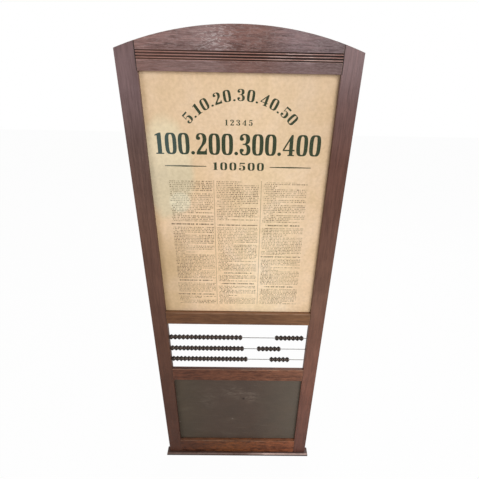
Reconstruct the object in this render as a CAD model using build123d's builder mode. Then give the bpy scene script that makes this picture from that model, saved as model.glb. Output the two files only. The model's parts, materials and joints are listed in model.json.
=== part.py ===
"""A wall-hung billiard scoreboard: an oak frame that holds a printed rules sheet, a window
with three wires of counting beads, and a writing slate.

X runs across the board and Z up it. The frame's back lies in the plane y = 0 and its front
faces -Y. The origin is midway between the two hanging holes, at the back.
"""

import os
from math import sqrt

from build123d import *

os.makedirs("parts", exist_ok=True)

# Driving sizes, in millimetres

# The frame, from the floor plate up
board_width = 600.0
stile_width = 51.0
frame_thickness = 20.0
base_plate_thickness = 12.0
bottom_rail_width = 77.0
slate_sight_height = 379.5
lower_rail_width = 59.0
window_height = 222.0
upper_rail_width = 50.1
sheet_sight_height = 748.4
crest_shoulder_height = 48.4
crest_rise = 54.0
arris_radius = 0.8

# Joinery
tenon_thickness = 6.0
tenon_length = 32.0
tenon_shoulder = 10.0
tenon_fit = 0.1
mortise_bottom_gap = 1.0

# Reeding along the crest
reed_count = 3
reed_width = 4.6
reed_gap = 1.75
reed_depth = 2.2
reed_crown_drop = 0.2
reed_band_height = 25.7

# Panels in their rebates
rebate_depth = 7.5
panel_side_lap = 5.0
panel_end_lap = 6.8
panel_edge_gap = 0.5
paper_thickness = 0.5
backboard_thickness = 4.5
slate_thickness = 5.0

# Headless sprigs that hold the panels
sprig_radius = 0.75
sprig_length = 15.5
sprig_grip = 8.0
sprig_hole_fit = 0.05
sprig_panel_gap = 0.05
sprig_end_margin = 60.0
sheet_sprigs_per_side = 4
slate_sprigs_per_side = 3
sprigs_per_end = 3

# Wires and beads
wire_radius = 1.2
wire_grip = 12.0
wire_hole_fit = 0.05
wire_end_gap = 1.0
bead_running_clearance = 0.1
bead_length = 14.15
bead_gap = 0.05
bead_radius = 9.5
bead_end_radius = 5.5
bead_rim_width = 2.4
bead_rim_rise = 0.35
beads_per_row = 25
top_row_drop = 69.5
row_pitch = 53.7

# Where the beads stand on each wire, top row first: how many are parked on the left, the gap
# before them, and the share of the row's bare wire that lies after the scored ones
parked_counts = (18, 19, 20)
parked_end_gaps = (0.5, 0.5, 0.5)
scored_end_shares = (0.09, 0.648, 0.4)

# The room between neighbours: some rows are pushed up tight and some lie loose
parked_bead_gaps = (0.5, bead_gap, bead_gap)
scored_bead_gaps = (0.65, 0.35, 0.6)

# Base plate
base_projection = 12.5
base_top_round = 4.5
base_bottom_round = 1.2

# Hanging plates and screws
hanger_drop = 100.0
hanger_plate_width = 18.0
hanger_plate_length = 70.0
hanger_plate_thickness = 2.0
hanger_plate_corner = 4.0
hanging_hole_radius = 4.5
hanging_pocket_radius = 7.5
hanging_pocket_depth = 10.0
hanger_screw_spacing = 50.0
hanger_screw_radius = 1.6
hanger_screw_head_radius = 3.4
hanger_screw_length = 13.0
base_screw_radius = 2.0
base_screw_head_radius = 4.0
base_screw_length = 40.0
base_screw_from_back = 6.0
base_screw_spacing = 180.0
screw_hole_fit = 0.1
screw_slot_width = 0.8
screw_slot_depth = 0.7
screw_tip_length = 3.5
screw_head_angle = 90.0

# Heights, counted down from the shoulder that the hanging holes set
shoulder_z = hanger_drop
crest_bottom_z = shoulder_z - crest_shoulder_height
upper_rail_top_z = crest_bottom_z - sheet_sight_height
window_top_z = upper_rail_top_z - upper_rail_width
window_bottom_z = window_top_z - window_height
slate_sight_top_z = window_bottom_z - lower_rail_width
slate_sight_bottom_z = slate_sight_top_z - slate_sight_height
plate_top_z = slate_sight_bottom_z - bottom_rail_width
plate_bottom_z = plate_top_z - base_plate_thickness

# Places across and through the board
half_width = board_width / 2
sight_half = half_width - stile_width
front_y = -frame_thickness
mid_rail_thickness = frame_thickness - rebate_depth
tenon_offset = frame_thickness - (mid_rail_thickness + tenon_thickness) / 2
rebate_width = panel_side_lap + panel_edge_gap
end_rebate_width = panel_end_lap + panel_edge_gap
panel_width = 2 * (sight_half + panel_side_lap)
backboard_back_y = -rebate_depth + paper_thickness + backboard_thickness
slate_back_y = -rebate_depth + slate_thickness
wire_y = -frame_thickness / 2
hanger_x = half_width - stile_width / 2

# The arch over the board
crest_radius = (half_width**2 + crest_rise**2) / (2 * crest_rise)
crest_centre_z = shoulder_z + crest_rise - crest_radius


def arch_z(x):
    """Height of the arch at a distance x from the middle."""
    return crest_centre_z + sqrt(crest_radius**2 - x**2)


def spread(low, high, count, margin):
    """Evenly spaced places from low to high, the first and last a margin inside."""
    step = (high - low - 2 * margin) / (count - 1)
    return [low + margin + i * step for i in range(count)]


# Where each rail's tenons sit: lowest and highest Z
rail_tenons = {
    "bottom_rail": (plate_top_z + tenon_shoulder, slate_sight_bottom_z - tenon_shoulder),
    "lower_mid_rail": (slate_sight_top_z + tenon_shoulder, window_bottom_z - tenon_shoulder),
    "upper_mid_rail": (window_top_z + tenon_shoulder, upper_rail_top_z - tenon_shoulder),
    "crest_rail": (crest_bottom_z + tenon_shoulder, shoulder_z - tenon_shoulder / 2),
}

# The panels' rebates: lowest and highest Z
sheet_bottom_z = upper_rail_top_z - panel_end_lap
sheet_top_z = crest_bottom_z + panel_end_lap
slate_bottom_z = slate_sight_bottom_z - panel_end_lap
slate_top_z = slate_sight_top_z + panel_end_lap
rebate_spans = (
    (sheet_bottom_z - panel_edge_gap, sheet_top_z + panel_edge_gap),
    (slate_bottom_z - panel_edge_gap, slate_top_z + panel_edge_gap),
)

# Sprigs, as a height or a place across, at the back of the panel that they hold
backboard_sprig_y = backboard_back_y + sprig_panel_gap + sprig_radius
slate_sprig_y = slate_back_y + sprig_panel_gap + sprig_radius
sheet_sprig_zs = spread(sheet_bottom_z, sheet_top_z, sheet_sprigs_per_side, sprig_end_margin)
slate_sprig_zs = spread(slate_bottom_z, slate_top_z, slate_sprigs_per_side, sprig_end_margin)
end_sprig_xs = spread(-sight_half, sight_half, sprigs_per_end, sprig_end_margin)
side_sprigs = [(backboard_sprig_y, z) for z in sheet_sprig_zs]
side_sprigs += [(slate_sprig_y, z) for z in slate_sprig_zs]
sprig_hole_radius = sprig_radius + sprig_hole_fit

# Wires
row_names = ("top", "middle", "bottom")
row_zs = [window_top_z - top_row_drop - i * row_pitch for i in range(len(row_names))]
wire_hole_depth = wire_grip + wire_end_gap

# Hanging plates
hanger_screw_zs = (-hanger_screw_spacing / 2, hanger_screw_spacing / 2)
base_screw_xs = (-hanger_x, -base_screw_spacing / 2, base_screw_spacing / 2, hanger_x)
base_screw_y = -base_screw_from_back


def write(piece, name):
    """Labels a finished piece and writes it under its name."""
    piece.part.label = name
    export_step(piece.part, f"parts/{name}.step")


# Stiles: full-height uprights whose tops follow the arch
for side, name in ((-1, "left_stile"), (1, "right_stile")):
    with BuildPart() as stile:
        with BuildSketch(Plane.XZ):
            with BuildLine():
                inner_x, outer_x = side * sight_half, side * half_width
                middle_x = (inner_x + outer_x) / 2
                Polyline(
                    (inner_x, arch_z(inner_x)),
                    (inner_x, plate_top_z),
                    (outer_x, plate_top_z),
                    (outer_x, shoulder_z),
                )
                ThreePointArc(
                    (outer_x, shoulder_z),
                    (middle_x, arch_z(middle_x)),
                    (inner_x, arch_z(inner_x)),
                )
            make_face()
        extrude(amount=frame_thickness)
        front_edges = stile.faces().sort_by(Axis.Y)[0].edges().sort_by(Axis.Z)
        fillet(front_edges[1:], radius=arris_radius)

        # Stopped rebates for the two panels
        with BuildSketch(Plane.XZ):
            for low, high in rebate_spans:
                with Locations((side * (sight_half + rebate_width / 2), (low + high) / 2)):
                    Rectangle(rebate_width, high - low)
        extrude(amount=rebate_depth, mode=Mode.SUBTRACT)

        # Mortises
        mortise_depth = tenon_length + mortise_bottom_gap
        with BuildSketch(Plane.XZ.offset(tenon_offset - tenon_fit)):
            for low, high in rail_tenons.values():
                with Locations((side * (sight_half + mortise_depth / 2), (low + high) / 2)):
                    Rectangle(mortise_depth, high - low + 2 * tenon_fit)
        extrude(amount=tenon_thickness + 2 * tenon_fit, mode=Mode.SUBTRACT)

        # Blind holes for the wires
        with BuildSketch(Plane.YZ.offset(side * sight_half)):
            with Locations(*[(wire_y, z) for z in row_zs]):
                Circle(wire_radius + wire_hole_fit)
        extrude(amount=side * wire_hole_depth, mode=Mode.SUBTRACT)

        # Sprig holes in the rebates' side walls
        with BuildSketch(Plane.YZ.offset(side * (sight_half + rebate_width))):
            with Locations(*side_sprigs):
                Circle(sprig_hole_radius)
        extrude(amount=side * sprig_grip, mode=Mode.SUBTRACT)

        # Seat, pocket and pilot holes for the hanging plate
        with BuildSketch(Plane.XZ):
            with Locations((side * hanger_x, 0)):
                RectangleRounded(hanger_plate_width, hanger_plate_length, hanger_plate_corner)
        extrude(amount=hanger_plate_thickness, mode=Mode.SUBTRACT)
        with BuildSketch(Plane.XZ.offset(hanger_plate_thickness)):
            with Locations((side * hanger_x, 0)):
                Circle(hanging_pocket_radius)
        extrude(amount=hanging_pocket_depth, mode=Mode.SUBTRACT)
        with BuildSketch(Plane.XZ):
            with Locations(*[(side * hanger_x, z) for z in hanger_screw_zs]):
                Circle(hanger_screw_radius + screw_hole_fit)
        extrude(amount=hanger_screw_length + screw_hole_fit, mode=Mode.SUBTRACT)

        # Pilot hole in the foot
        with BuildSketch(Plane.XY.offset(plate_bottom_z)):
            with Locations((side * hanger_x, base_screw_y)):
                Circle(base_screw_radius + screw_hole_fit)
        extrude(amount=base_screw_length + screw_hole_fit, mode=Mode.SUBTRACT)
    write(stile, name)


# Crest rail: arched top, three reeds across its face, a plain band under them
with BuildPart() as crest_rail:
    with BuildSketch(Plane.XZ):
        with BuildLine():
            Polyline(
                (-sight_half, arch_z(sight_half)),
                (-sight_half, crest_bottom_z),
                (sight_half, crest_bottom_z),
                (sight_half, arch_z(sight_half)),
            )
            ThreePointArc(
                (sight_half, arch_z(sight_half)),
                (0, arch_z(0)),
                (-sight_half, arch_z(sight_half)),
            )
        make_face()
    extrude(amount=frame_thickness)
    crest_front_edges = crest_rail.faces().sort_by(Axis.Y)[0].edges()
    fillet(crest_front_edges.filter_by(Axis.Z, reverse=True), radius=arris_radius)
    reeds_bottom_z = crest_bottom_z + reed_band_height
    reed_floor_y = front_y + reed_depth
    with BuildSketch(Plane.YZ):
        with BuildLine():
            reeds_top_z = reeds_bottom_z + reed_count * (reed_width + reed_gap) + reed_gap
            Polyline(
                (reed_floor_y, reeds_top_z),
                (front_y - reed_depth, reeds_top_z),
                (front_y - reed_depth, reeds_bottom_z),
                (reed_floor_y, reeds_bottom_z),
            )
            gap_bottom_z = reeds_bottom_z
            for i in range(reed_count):
                reed_z = gap_bottom_z + reed_gap
                Line((reed_floor_y, gap_bottom_z), (reed_floor_y, reed_z))
                ThreePointArc(
                    (reed_floor_y, reed_z),
                    (front_y + reed_crown_drop, reed_z + reed_width / 2),
                    (reed_floor_y, reed_z + reed_width),
                )
                gap_bottom_z = reed_z + reed_width
            Line((reed_floor_y, gap_bottom_z), (reed_floor_y, reeds_top_z))
        make_face()
    extrude(amount=sight_half, both=True, mode=Mode.SUBTRACT)
    with BuildSketch(Plane.XZ):
        with Locations((0, crest_bottom_z + end_rebate_width / 2)):
            Rectangle(2 * sight_half, end_rebate_width)
    extrude(amount=rebate_depth, mode=Mode.SUBTRACT)
    with BuildSketch(Plane.XY.offset(crest_bottom_z + end_rebate_width)):
        with Locations(*[(x, backboard_sprig_y) for x in end_sprig_xs]):
            Circle(sprig_hole_radius)
    extrude(amount=sprig_grip, mode=Mode.SUBTRACT)
    crest_tenon_low, crest_tenon_high = rail_tenons["crest_rail"]
    with BuildSketch(Plane.XZ.offset(tenon_offset)):
        with Locations((0, (crest_tenon_low + crest_tenon_high) / 2)):
            Rectangle(2 * (sight_half + tenon_length), crest_tenon_high - crest_tenon_low)
    extrude(amount=tenon_thickness)
write(crest_rail, "crest_rail")


# Mid rails: thinner than the stiles by the rebate, so that the panels pass behind them
for name, low_z, high_z in (
    ("upper_mid_rail", window_top_z, upper_rail_top_z),
    ("lower_mid_rail", slate_sight_top_z, window_bottom_z),
):
    with BuildPart() as mid_rail:
        with BuildSketch(Plane.XZ.offset(rebate_depth)):
            with Locations((0, (low_z + high_z) / 2)):
                Rectangle(2 * sight_half, high_z - low_z)
        extrude(amount=mid_rail_thickness)
        rail_front_edges = mid_rail.faces().sort_by(Axis.Y)[0].edges()
        fillet(rail_front_edges.filter_by(Axis.X), radius=arris_radius)
        tenon_low, tenon_high = rail_tenons[name]
        with BuildSketch(Plane.XZ.offset(tenon_offset)):
            with Locations((0, (tenon_low + tenon_high) / 2)):
                Rectangle(2 * (sight_half + tenon_length), tenon_high - tenon_low)
        extrude(amount=tenon_thickness)
    write(mid_rail, name)


# Bottom rail, rebated along its top for the slate
with BuildPart() as bottom_rail:
    with BuildSketch(Plane.XZ):
        with Locations((0, (plate_top_z + slate_sight_bottom_z) / 2)):
            Rectangle(2 * sight_half, bottom_rail_width)
    extrude(amount=frame_thickness)
    bottom_front_edges = bottom_rail.faces().sort_by(Axis.Y)[0].edges()
    fillet(bottom_front_edges.sort_by(Axis.Z)[-1], radius=arris_radius)
    with BuildSketch(Plane.XZ):
        with Locations((0, slate_sight_bottom_z - end_rebate_width / 2)):
            Rectangle(2 * sight_half, end_rebate_width)
    extrude(amount=rebate_depth, mode=Mode.SUBTRACT)
    with BuildSketch(Plane.XY.offset(slate_sight_bottom_z - end_rebate_width)):
        with Locations(*[(x, slate_sprig_y) for x in end_sprig_xs]):
            Circle(sprig_hole_radius)
    extrude(amount=-sprig_grip, mode=Mode.SUBTRACT)
    bottom_tenon_low, bottom_tenon_high = rail_tenons["bottom_rail"]
    with BuildSketch(Plane.XZ.offset(tenon_offset)):
        with Locations((0, (bottom_tenon_low + bottom_tenon_high) / 2)):
            Rectangle(2 * (sight_half + tenon_length), bottom_tenon_high - bottom_tenon_low)
    extrude(amount=tenon_thickness)
    with BuildSketch(Plane.XY.offset(plate_bottom_z)):
        with Locations(*[(x, base_screw_y) for x in base_screw_xs[1:-1]]):
            Circle(base_screw_radius + screw_hole_fit)
    extrude(amount=base_screw_length + screw_hole_fit, mode=Mode.SUBTRACT)
write(bottom_rail, "bottom_rail")


# Base plate: a rounded board under the stiles and the bottom rail
plate_depth = frame_thickness + base_projection
with BuildPart() as base_plate:
    with BuildSketch(Plane.XY.offset(plate_bottom_z)):
        with Locations((0, -plate_depth / 2)):
            Rectangle(board_width + 2 * base_projection, plate_depth)
    extrude(amount=base_plate_thickness)
    top_edges = base_plate.faces().sort_by(Axis.Z)[-1].edges().sort_by(Axis.Y)[:-1]
    fillet(top_edges, radius=base_top_round)
    under_edges = base_plate.faces().sort_by(Axis.Z)[0].edges().sort_by(Axis.Y)[:-1]
    fillet(under_edges, radius=base_bottom_round)
    head_places = [(x, base_screw_y, plate_bottom_z) for x in base_screw_xs]
    with Locations(*[Location(place, (180, 0, 0)) for place in head_places]):
        CounterSinkHole(
            radius=base_screw_radius + screw_hole_fit,
            counter_sink_radius=base_screw_head_radius + screw_hole_fit,
            counter_sink_angle=screw_head_angle,
        )
write(base_plate, "base_plate")


# Rules sheet, the thin board behind it, and the slate
for name, back_y, thickness, low_z, high_z in (
    ("rules_sheet", -rebate_depth + paper_thickness, paper_thickness, sheet_bottom_z, sheet_top_z),
    ("sheet_backboard", backboard_back_y, backboard_thickness, sheet_bottom_z, sheet_top_z),
    ("slate_panel", slate_back_y, slate_thickness, slate_bottom_z, slate_top_z),
):
    with BuildPart() as panel:
        with BuildSketch(Plane.XZ.offset(-back_y)):
            with Locations((0, (low_z + high_z) / 2)):
                Rectangle(panel_width, high_z - low_z)
        extrude(amount=thickness)
    write(panel, name)


# Sprigs: driven into the rebates' walls and lying against the panels' backs
with BuildPart() as panel_sprigs:
    for side in (-1, 1):
        with BuildSketch(Plane.YZ.offset(side * (sight_half + rebate_width + sprig_grip))):
            with Locations(*side_sprigs):
                Circle(sprig_radius)
        extrude(amount=-side * sprig_length)
    with BuildSketch(Plane.XY.offset(crest_bottom_z + end_rebate_width + sprig_grip)):
        with Locations(*[(x, backboard_sprig_y) for x in end_sprig_xs]):
            Circle(sprig_radius)
    extrude(amount=-sprig_length)
    with BuildSketch(Plane.XY.offset(slate_sight_bottom_z - end_rebate_width - sprig_grip)):
        with Locations(*[(x, slate_sprig_y) for x in end_sprig_xs]):
            Circle(sprig_radius)
    extrude(amount=sprig_length)
write(panel_sprigs, "panel_sprigs")


# Wires of the bead counter
for row_name, row_z in zip(row_names, row_zs):
    with BuildPart() as wire:
        with BuildSketch(Plane.YZ):
            with Locations((wire_y, row_z)):
                Circle(wire_radius)
        extrude(amount=sight_half + wire_grip, both=True)
    write(wire, f"{row_name}_row_wire")


# Hanging plates, flush in the stiles' backs
for side, name in ((-1, "hanger_plate_left"), (1, "hanger_plate_right")):
    with BuildPart() as hanger_plate:
        with BuildSketch(Plane.XZ):
            with Locations((side * hanger_x, 0)):
                RectangleRounded(hanger_plate_width, hanger_plate_length, hanger_plate_corner)
                Circle(hanging_hole_radius, mode=Mode.SUBTRACT)
        extrude(amount=hanger_plate_thickness)
        screw_places = [(side * hanger_x, 0, z) for z in hanger_screw_zs]
        with Locations(*[Location(place, (-90, 0, 0)) for place in screw_places]):
            CounterSinkHole(
                radius=hanger_screw_radius + screw_hole_fit,
                counter_sink_radius=hanger_screw_head_radius + screw_hole_fit,
                counter_sink_angle=screw_head_angle,
            )
    write(hanger_plate, name)


def write_screws(head_planes, shank_radius, head_radius, length, name):
    """Turns a slotted countersunk screw under each plane, its head flush, and writes them all."""
    with BuildPart() as screws:
        for head_plane in head_planes:
            section_plane = Plane(head_plane.origin, x_dir=head_plane.x_dir, z_dir=-head_plane.y_dir)
            with BuildSketch(section_plane):
                with BuildLine():
                    Polyline(
                        (0, 0),
                        (head_radius, 0),
                        (shank_radius, shank_radius - head_radius),
                        (shank_radius, screw_tip_length - length),
                        (0, -length),
                        (0, 0),
                    )
                make_face()
            revolve(axis=Axis(head_plane.origin, head_plane.z_dir))
        with BuildSketch(*head_planes):
            Rectangle(2 * head_radius, screw_slot_width)
        extrude(amount=-screw_slot_depth, mode=Mode.SUBTRACT)
    write(screws, name)


# Screws of the hanging plates
hanger_screw_planes = [
    Plane((side * hanger_x, 0, z), x_dir=(1, 0, 0), z_dir=(0, 1, 0))
    for side in (-1, 1)
    for z in hanger_screw_zs
]
write_screws(
    hanger_screw_planes,
    hanger_screw_radius,
    hanger_screw_head_radius,
    hanger_screw_length,
    "hanger_screws",
)


# Screws up through the base plate
base_screw_planes = [
    Plane((x, base_screw_y, plate_bottom_z), x_dir=(1, 0, 0), z_dir=(0, 0, -1))
    for x in base_screw_xs
]
write_screws(
    base_screw_planes, base_screw_radius, base_screw_head_radius, base_screw_length, "base_screws"
)


# Beads: two cones with a narrow rounded rim between them, bored to run on the wire
bead_pitch = bead_length + bead_gap
bare_wire_length = 2 * sight_half - beads_per_row * bead_pitch + 2 * bead_gap
bead_bore_radius = wire_radius + bead_running_clearance


def write_beads(centres, row_z, name):
    """Turns a bead at each place along a row's wire and writes them as one node."""
    with BuildPart() as beads:
        for centre_x in centres:
            with BuildSketch(Plane(origin=(centre_x, wire_y, row_z))):
                with BuildLine():
                    Polyline(
                        (-bead_rim_width / 2, bead_radius - bead_rim_rise),
                        (-bead_length / 2, bead_end_radius),
                        (-bead_length / 2, bead_bore_radius),
                        (bead_length / 2, bead_bore_radius),
                        (bead_length / 2, bead_end_radius),
                        (bead_rim_width / 2, bead_radius - bead_rim_rise),
                    )
                    ThreePointArc(
                        (bead_rim_width / 2, bead_radius - bead_rim_rise),
                        (0, bead_radius),
                        (-bead_rim_width / 2, bead_radius - bead_rim_rise),
                    )
                make_face()
            revolve(axis=Axis((0, wire_y, row_z), (1, 0, 0)))
    write(beads, name)


for row_name, row_z, parked, parked_gap, scored_share, parked_room, scored_room in zip(
    row_names, row_zs, parked_counts, parked_end_gaps, scored_end_shares, parked_bead_gaps, scored_bead_gaps
):
    parked_start = -sight_half + parked_gap + bead_length / 2
    parked_xs = [parked_start + i * (bead_length + parked_room) for i in range(parked)]
    scored_end = sight_half - scored_share * bare_wire_length - bead_length / 2
    scored = beads_per_row - parked
    scored_xs = [scored_end - (scored - 1 - i) * (bead_length + scored_room) for i in range(scored)]

    # The parked beads but the last are one node; every other bead has its own
    write_beads(parked_xs[:-1], row_z, f"{row_name}_row_parked_beads")
    for i, centre_x in enumerate([parked_xs[-1]] + scored_xs):
        write_beads([centre_x], row_z, f"{row_name}_row_bead_{parked + i}")
    print(row_name, "row gap between groups", round(scored_xs[0] - parked_xs[-1] - bead_length, 2))
print("board height", shoulder_z + crest_rise - plate_bottom_z, "bottom", plate_bottom_z)
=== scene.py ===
# %% [markdown]
# # Dressing a billiard scoreboard
#
# The board is a tall wooden frame with three things in it: a yellowed printed sheet, a window with
# beads on wires, and a slate. Its joinery is already there as exact solids, so this lesson is about
# everything that a solid doesn't say: old stained oak, foxed paper, ink, chalk and worn steel.
# The solids come in first, and the box around them is kept, because nothing may grow past it.

import json
import random
from math import copysign, cos, pi, radians, sin
from types import SimpleNamespace

import bmesh
import bpy
from mathutils import Matrix, Vector


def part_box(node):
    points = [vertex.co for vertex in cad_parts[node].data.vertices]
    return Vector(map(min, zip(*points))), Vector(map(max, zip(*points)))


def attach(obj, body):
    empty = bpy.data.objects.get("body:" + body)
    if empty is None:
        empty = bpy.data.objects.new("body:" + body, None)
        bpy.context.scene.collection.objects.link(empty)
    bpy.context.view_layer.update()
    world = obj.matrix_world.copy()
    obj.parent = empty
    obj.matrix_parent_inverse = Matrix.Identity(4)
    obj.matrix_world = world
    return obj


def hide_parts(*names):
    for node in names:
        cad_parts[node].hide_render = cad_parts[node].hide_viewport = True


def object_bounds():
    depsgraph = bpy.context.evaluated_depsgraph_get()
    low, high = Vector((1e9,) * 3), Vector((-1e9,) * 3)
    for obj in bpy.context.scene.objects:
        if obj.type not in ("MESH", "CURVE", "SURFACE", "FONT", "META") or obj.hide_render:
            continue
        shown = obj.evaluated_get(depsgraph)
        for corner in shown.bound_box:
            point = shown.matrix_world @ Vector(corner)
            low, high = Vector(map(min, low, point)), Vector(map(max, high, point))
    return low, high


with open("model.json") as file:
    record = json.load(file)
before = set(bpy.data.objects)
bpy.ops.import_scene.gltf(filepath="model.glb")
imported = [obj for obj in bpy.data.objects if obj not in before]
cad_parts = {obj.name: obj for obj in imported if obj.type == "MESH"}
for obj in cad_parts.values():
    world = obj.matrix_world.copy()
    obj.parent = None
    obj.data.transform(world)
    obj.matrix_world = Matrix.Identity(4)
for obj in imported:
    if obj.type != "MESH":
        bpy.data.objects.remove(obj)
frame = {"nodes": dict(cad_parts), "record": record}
bpy.context.scene.view_settings.view_transform = "Standard"
nodes = frame["nodes"]
cad_low, cad_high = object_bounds()
mm = 0.001
board_foot = cad_low.z
print("nodes", len(nodes), "height", round(cad_high.z - cad_low.z, 4))


def height(millimetres):
    """A height above the board's foot, in the frame's metres."""
    return board_foot + millimetres * mm


# %% [markdown]
# ## The camera
#
# A standing person took the picture from about a metre away and looked down, so the board's sides run
# together towards its foot. One could guess a camera and nudge it. Here its place, yaw, pitch and roll
# were solved from the board's straight edges instead. The picture was cropped a little off its middle,
# which is the small sideways shift of the lens.

# %% Camera
frame_pixels = 479
focal_pixels = 352.73
crop_pixels = -9.4
sensor_width = 36.0
camera_place = (19.0 * mm, -970.4 * mm, height(1593.3))
camera_yaw = -0.0129
camera_pitch = radians(28.0)
camera_roll = 0.0209

bpy.ops.object.camera_add(location=camera_place)
camera = bpy.context.object
camera.name = "photo_camera"
tilt = Matrix.Rotation(pi / 2 - camera_pitch, 4, "X") @ Matrix.Rotation(camera_roll, 4, "Z")
camera.rotation_euler = (Matrix.Rotation(camera_yaw, 4, "Z") @ tilt).to_euler()
camera.data.sensor_width = sensor_width
camera.data.lens = sensor_width * focal_pixels / frame_pixels
camera.data.shift_x = crop_pixels / frame_pixels
bpy.context.scene.camera = camera
print("lens", round(camera.data.lens, 2))


# %% [markdown]
# ## Small tools for shader nodes
#
# A material is a graph. Written out in full, each node takes four or five lines, which hides the idea,
# so a few helpers come first: one adds a node, and one feeds a socket with a number or with another
# node's output. Colours are given as they'd be picked on a screen, and changed to the renderer's linear
# values.

# %% Colours, nodes and sockets
def paint(red, green, blue):
    """A screen colour, 0 to 255 a channel, as the renderer's linear colour."""
    channels = []
    for channel in (red, green, blue):
        share = channel / 255
        channels.append(share / 12.92 if share <= 0.04045 else ((share + 0.055) / 1.055) ** 2.4)
    return (*channels, 1.0)


def start_material(name):
    """A new material with its node tree and its main shader."""
    material = bpy.data.materials.new(name)
    material.use_nodes = True
    return material, material.node_tree, material.node_tree.nodes["Principled BSDF"]


def feed(tree, socket, value):
    """Links an output to a socket, or sets the socket to a plain value."""
    if isinstance(value, bpy.types.NodeSocket):
        tree.links.new(value, socket)
    else:
        socket.default_value = value


def add_node(tree, kind, inputs=(), **settings):
    """Adds a shader node, sets its options, and feeds its inputs by name or by number."""
    node = tree.nodes.new("ShaderNode" + kind)
    for option, value in settings.items():
        setattr(node, option, value)
    for key, value in dict(inputs).items():
        feed(tree, node.inputs[key], value)
    return node


# %% [markdown]
# ### Sums, mixes and ramps
#
# Nearly every finish is a sum or a product of soft masks, a mix of two colours by a mask, or a ramp of
# colours along a value. Each of these is one node with awkward socket numbers, so each gets a name here.
# The eased Map Range does most of the work: it turns any stretch of a value into a mask with soft ends.

# %% Sums, mixes and ramps
def maths(tree, operation, *values):
    """A Math node's result."""
    return add_node(tree, "Math", dict(enumerate(values)), operation=operation).outputs[0]


def blend(tree, amount, first, second, how="MIX"):
    """Two colours mixed by an amount."""
    mix = add_node(tree, "Mix", data_type="RGBA", blend_type=how)
    for key, value in ((0, amount), (6, first), (7, second)):
        feed(tree, mix.inputs[key], value)
    return mix.outputs[2]


def tinted(tree, colour, tone):
    """A colour multiplied by a tone, whole."""
    return blend(tree, 1.0, colour, tone, "MULTIPLY")


def ramp(tree, amount, stops):
    """A colour ramp with its stops given as (place, colour)."""
    node = add_node(tree, "ValToRGB", {"Fac": amount})
    elements = node.color_ramp.elements
    while len(elements) < len(stops):
        elements.new(0.5)
    for element, (place, colour) in zip(elements, stops):
        element.position = place
        element.color = colour
    return node.outputs[0]


def rescale(tree, value, low, high, to_low=0.0, to_high=1.0):
    """A value's stretch from low to high, eased and clamped onto another one."""
    inputs = {"Value": value, "From Min": low, "From Max": high, "To Min": to_low, "To Max": to_high}
    return add_node(tree, "MapRange", inputs, interpolation_type="SMOOTHSTEP").outputs[0]


# %% [markdown]
# ### Patterns and masks
#
# Wood, paper, slate and rust all start as noise, read at the piece's own coordinates. Object
# coordinates are in metres and stay with the piece, so a stain stays where it's put. Two masks need no
# place at all: one darkens corners, for painted shade and dust, and one finds edges, as fingers do.

# %% Patterns and masks
def noise(tree, place, scale, detail=3.0, roughness=0.5, distortion=0.0):
    """Soft noise around 0.5 at a place, scale features a metre."""
    inputs = {
        "Vector": place,
        "Scale": scale,
        "Detail": detail,
        "Roughness": roughness,
        "Distortion": distortion,
    }
    return add_node(tree, "TexNoise", inputs).outputs[0]


def object_place(tree, shift=(0, 0, 0), stretch=(1, 1, 1), turn_by=(0, 0, 0)):
    """The piece's own coordinates, moved, turned and stretched."""
    coordinates = add_node(tree, "TexCoord").outputs["Object"]
    inputs = {"Vector": coordinates, "Location": shift, "Rotation": turn_by, "Scale": stretch}
    return add_node(tree, "Mapping", inputs).outputs[0]


def bump(tree, bumps, depth, strength=1.0):
    """A surface normal raised by a height map, depth metres from 0 to 1."""
    inputs = {"Strength": strength, "Distance": depth, "Height": bumps}
    return add_node(tree, "Bump", inputs).outputs[0]


def grey_of(tree, value):
    """A value as a grey colour."""
    return add_node(tree, "CombineColor", {0: value, 1: value, 2: value}).outputs[0]


def between(tree, value, low, high):
    """1 where a value lies between two others, else 0."""
    return maths(tree, "COMPARE", value, (low + high) / 2, (high - low) / 2)


def either(tree, masks):
    """The union of several masks."""
    joined = masks[0]
    for mask in masks[1:]:
        joined = maths(tree, "MAXIMUM", joined, mask)
    return joined


def share_between(tree, value, low, high):
    """How far a value lies from one number to another, from 0 to 1."""
    return add_node(tree, "MapRange", {"Value": value, "From Min": low, "From Max": high}).outputs[0]


def nearness(tree, x, y, z, reach):
    """1 at a point, given in millimetres with z above the foot, and 0 from a reach away."""
    distance = add_node(
        tree, "VectorMath", {0: object_place(tree), 1: (x * mm, y * mm, height(z))}, operation="DISTANCE"
    )
    return rescale(tree, distance.outputs["Value"], reach * mm, 0.0)


def product(tree, *values):
    """Several values multiplied together."""
    result = values[0]
    for value in values[1:]:
        result = maths(tree, "MULTIPLY", result, value)
    return result


def corner_shade(tree, reach):
    """Near 0 in corners and crevices, 1 on open faces."""
    return add_node(tree, "AmbientOcclusion", {"Distance": reach}, samples=8).outputs["AO"]


def arris_mask(tree, radius):
    """Above 0 only along outer and inner edges."""
    rounded = add_node(tree, "Bevel", {"Radius": radius}, samples=4).outputs[0]
    true_normal = add_node(tree, "NewGeometry").outputs["Normal"]
    likeness = add_node(tree, "VectorMath", {0: rounded, 1: true_normal}, operation="DOT_PRODUCT")
    return rescale(tree, likeness.outputs["Value"], 0.97, 0.80)


def dress(material, *names):
    """Gives CAD nodes a material in place of their plain one."""
    for name in names:
        nodes[name].data.materials.clear()
        nodes[name].data.materials.append(material)


# %% [markdown]
# ## The studio
#
# The reference shows the board cut out on white. A white sky that lit the board from all sides would
# wash out its wood, so the white is only what the camera sees: the floor and the sky answer camera rays
# with plain white, and every other ray with a softer light. A small share of the floor's own finish
# stays in what the camera sees, and with it the shadow at the board's foot.

# %% Floor and sky
floor_size = 14.0
floor_gap = 0.5 * mm
shadow_share = 0.03
sky_strength = 0.42

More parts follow.
